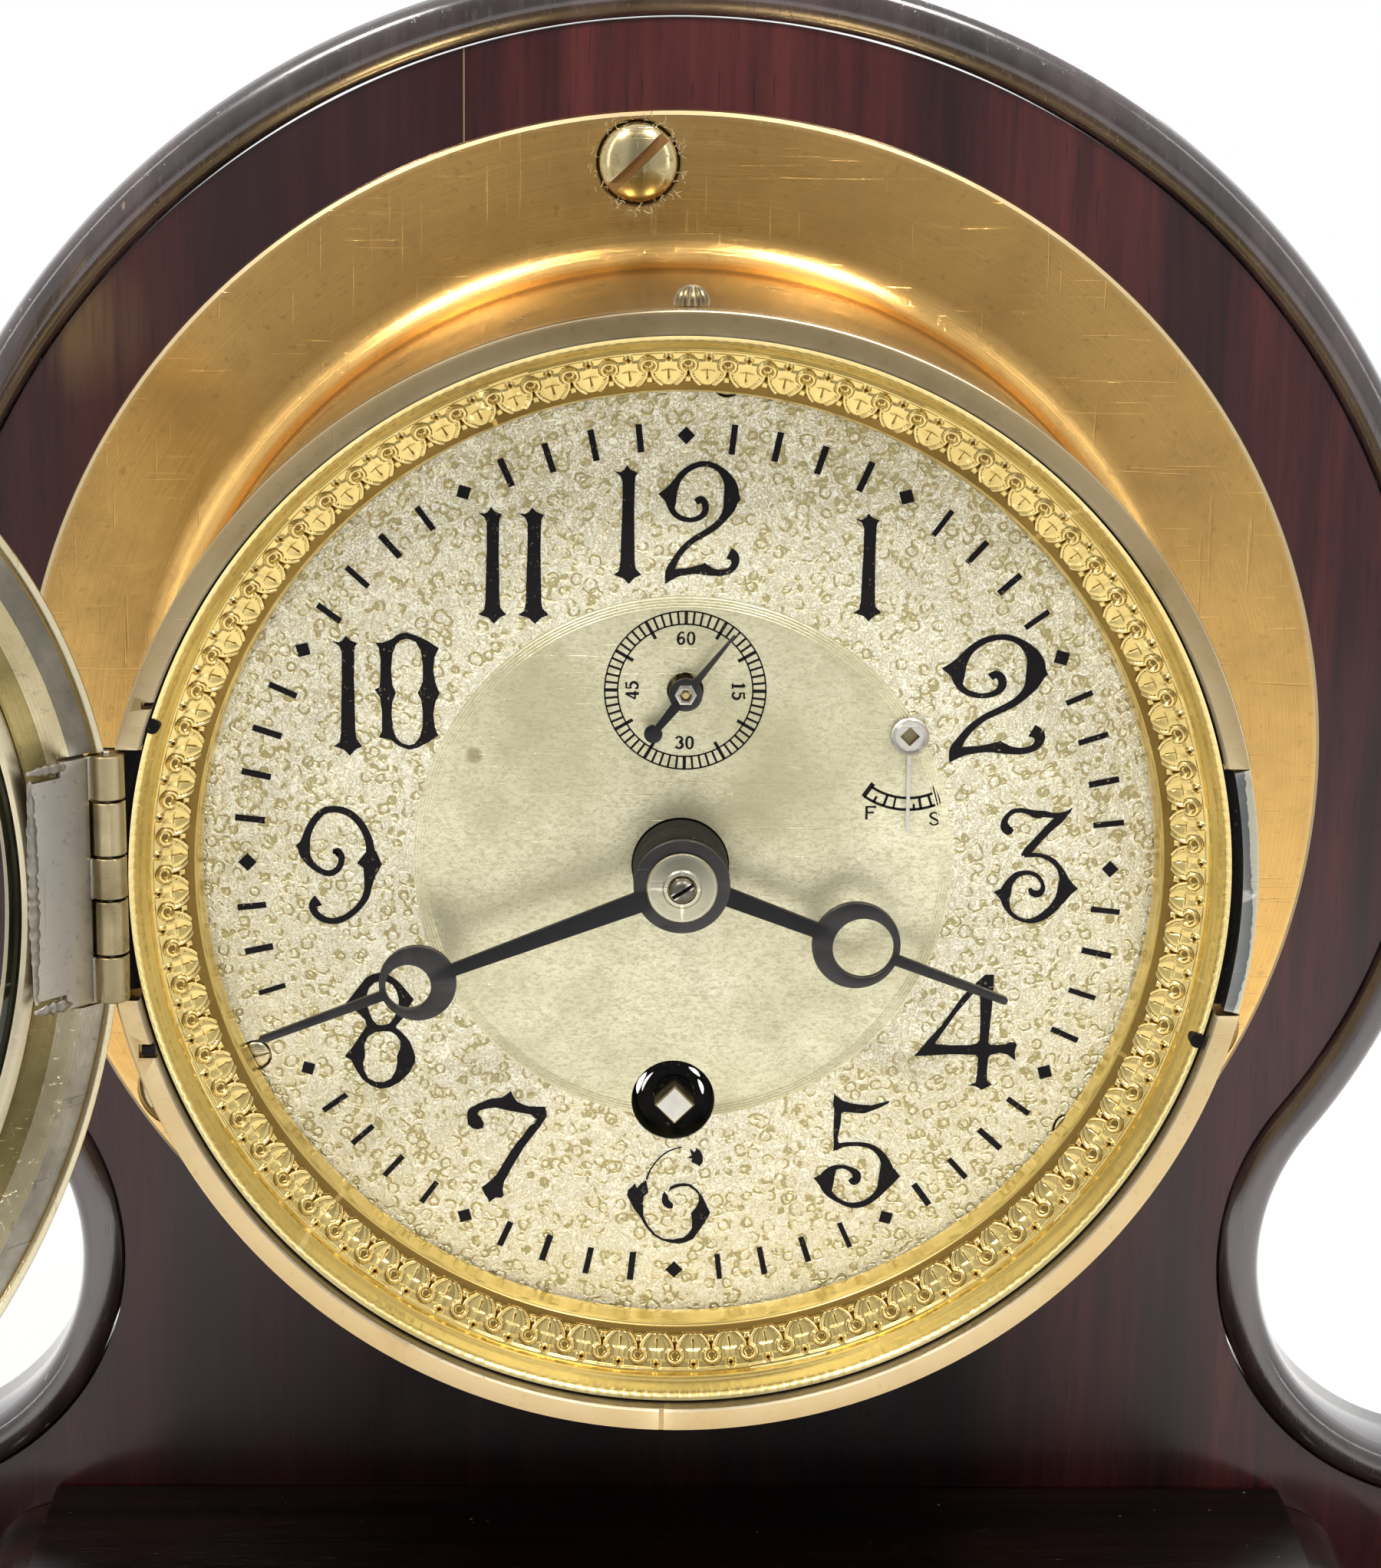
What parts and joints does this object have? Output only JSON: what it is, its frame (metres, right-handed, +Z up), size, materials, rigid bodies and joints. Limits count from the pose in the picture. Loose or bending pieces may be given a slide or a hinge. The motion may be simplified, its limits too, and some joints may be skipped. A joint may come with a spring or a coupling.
{
  "type": "yacht clock",
  "caption": "Marine drum clock with an open hinged glazed bezel, black open hands and a spring-driven lever movement, on a shaped wooden stand with a black edge bead and a moulded base",
  "frame": {"origin": "centre of the stand's underside, on the face that the stand rests on", "axes": "+X to the right seen from the front, +Y to the back, +Z up; the dial faces -Y"},
  "size_m": [0.2875, 0.1863, 0.241],
  "materials": {
    "rosewood": "glossy varnished rosewood",
    "walnut": "varnished straight grain",
    "ebony": "black gloss varnish",
    "felt": "woollen felt",
    "case_brass": "aged polished brass",
    "silver_brass": "worn silvering over brass",
    "movement_brass": "brushed and lacquered",
    "blue_black_steel": "blackened steel",
    "steel": "dull polished",
    "glass": "clear flat glass"
  },
  "bodies": {
    "case": {"backboard": "rosewood", "edge_bead": "ebony", "base_block": "walnut", "base_moulding": "rosewood", "plinth": "rosewood", "felt_base": "felt", "base_screw_1": "steel", "base_screw_2": "steel", "case_drum": "case_brass", "flange_screw_1": "steel", "flange_screw_2": "steel", "flange_screw_3": "steel", "fluted_stud": "steel", "catch_spring": "steel", "hinge_case_leaf": "case_brass", "hinge_pin": "steel", "dial_plate": "silver_brass", "ornament_ring": "silver_brass", "dial_screw_1": "steel", "dial_screw_2": "steel", "dial_screw_3": "steel", "ledge_screw_1": "steel", "ledge_screw_2": "steel", "ledge_screw_3": "steel", "movement_front_plate": "movement_brass", "movement_rear_plate": "movement_brass", "pillar_1": "movement_brass", "pillar_2": "movement_brass", "pillar_3": "movement_brass", "pillar_4": "movement_brass", "balance_cock": "movement_brass", "click_screw": "steel", "hairspring": "blue_black_steel"},
    "bezel": {"bezel_ring": "silver_brass", "bezel_glass": "glass", "glass_retaining_ring": "silver_brass", "hinge_bezel_leaf": "silver_brass"},
    "centre": {"centre_wheel": "movement_brass", "cannon_pinion": "steel", "minute_hand": "blue_black_steel", "hand_washer": "silver_brass", "hand_screw": "steel"},
    "hour": {"hour_wheel": "movement_brass", "hour_hand": "blue_black_steel"},
    "motion": {"minute_wheel": "movement_brass"},
    "barrel": {"mainspring_barrel": "movement_brass", "barrel_cover": "movement_brass", "mainspring": "steel"},
    "winding": {"winding_arbor": "steel", "ratchet_wheel": "steel"},
    "click_body": {"click": "steel"},
    "third": {"third_wheel": "movement_brass"},
    "fourth": {"fourth_wheel": "movement_brass", "seconds_hand": "blue_black_steel"},
    "escape": {"escape_wheel": "movement_brass"},
    "lever": {"pallet_lever": "movement_brass"},
    "balance": {"balance_wheel": "movement_brass"},
    "regulator": {"regulator_index": "blue_black_steel"}
  },
  "joints": [
    {"name": "bezel_hinge", "type": "hinge", "parent": "case", "child": "bezel", "pos_m": [-0.0676, -0.0384, 0.135], "axis": [0, 0, 1], "range_deg": [0, 133]},
    {"name": "minute_turn", "type": "hinge", "parent": "case", "child": "centre", "pos_m": [-0.001, -0.025, 0.135], "axis": [0, 1, 0], "continuous": true},
    {"name": "hour_turn", "type": "hinge", "parent": "case", "child": "hour", "pos_m": [-0.001, -0.025, 0.135], "axis": [0, 1, 0], "continuous": true},
    {"name": "motion_turn", "type": "hinge", "parent": "case", "child": "motion", "pos_m": [0.00749, -0.025, 0.12651], "axis": [0, 1, 0], "continuous": true},
    {"name": "barrel_turn", "type": "hinge", "parent": "case", "child": "barrel", "pos_m": [-0.0013, -0.025, 0.1048], "axis": [0, 1, 0], "continuous": true},
    {"name": "third_turn", "type": "hinge", "parent": "case", "child": "third", "pos_m": [-0.01653, -0.025, 0.14617], "axis": [0, 1, 0], "continuous": true},
    {"name": "seconds_turn", "type": "hinge", "parent": "case", "child": "fourth", "pos_m": [-0.0007, -0.025, 0.1565], "axis": [0, 1, 0], "continuous": true},
    {"name": "escape_turn", "type": "hinge", "parent": "case", "child": "escape", "pos_m": [0.01154, -0.025, 0.1622], "axis": [0, 1, 0], "continuous": true},
    {"name": "winding_turn", "type": "hinge", "parent": "case", "child": "winding", "pos_m": [-0.0013, -0.025, 0.1048], "axis": [0, 1, 0], "continuous": true},
    {"name": "click_lift", "type": "hinge", "parent": "case", "child": "click_body", "pos_m": [-0.01408, -0.025, 0.10945], "axis": [0, 1, 0], "range_deg": [0, 12], "stiffness_Nm_per_rad": 0.0001, "springref_deg": -11.46},
    {"name": "lever_rock", "type": "hinge", "parent": "case", "child": "lever", "pos_m": [0.01763, -0.025, 0.15767], "axis": [0, 1, 0], "range_deg": [-5, 5]},
    {"name": "balance_swing", "type": "hinge", "parent": "case", "child": "balance", "pos_m": [0.0262, -0.025, 0.1513], "axis": [0, 1, 0], "range_deg": [-135, 135], "stiffness_Nm_per_rad": 0.000015},
    {"name": "regulator_turn", "type": "hinge", "parent": "case", "child": "regulator", "pos_m": [0.0262, -0.025, 0.1513], "axis": [0, 1, 0], "range_deg": [-20, 20]}
  ],
  "couplings": [
    {"joint": "motion_turn", "follows": "minute_turn", "ratio": -0.33333},
    {"joint": "hour_turn", "follows": "minute_turn", "ratio": 0.083333},
    {"joint": "barrel_turn", "follows": "minute_turn", "ratio": -0.125},
    {"joint": "third_turn", "follows": "minute_turn", "ratio": -7.5},
    {"joint": "seconds_turn", "follows": "minute_turn", "ratio": 60},
    {"joint": "escape_turn", "follows": "minute_turn", "ratio": -480}
  ]
}
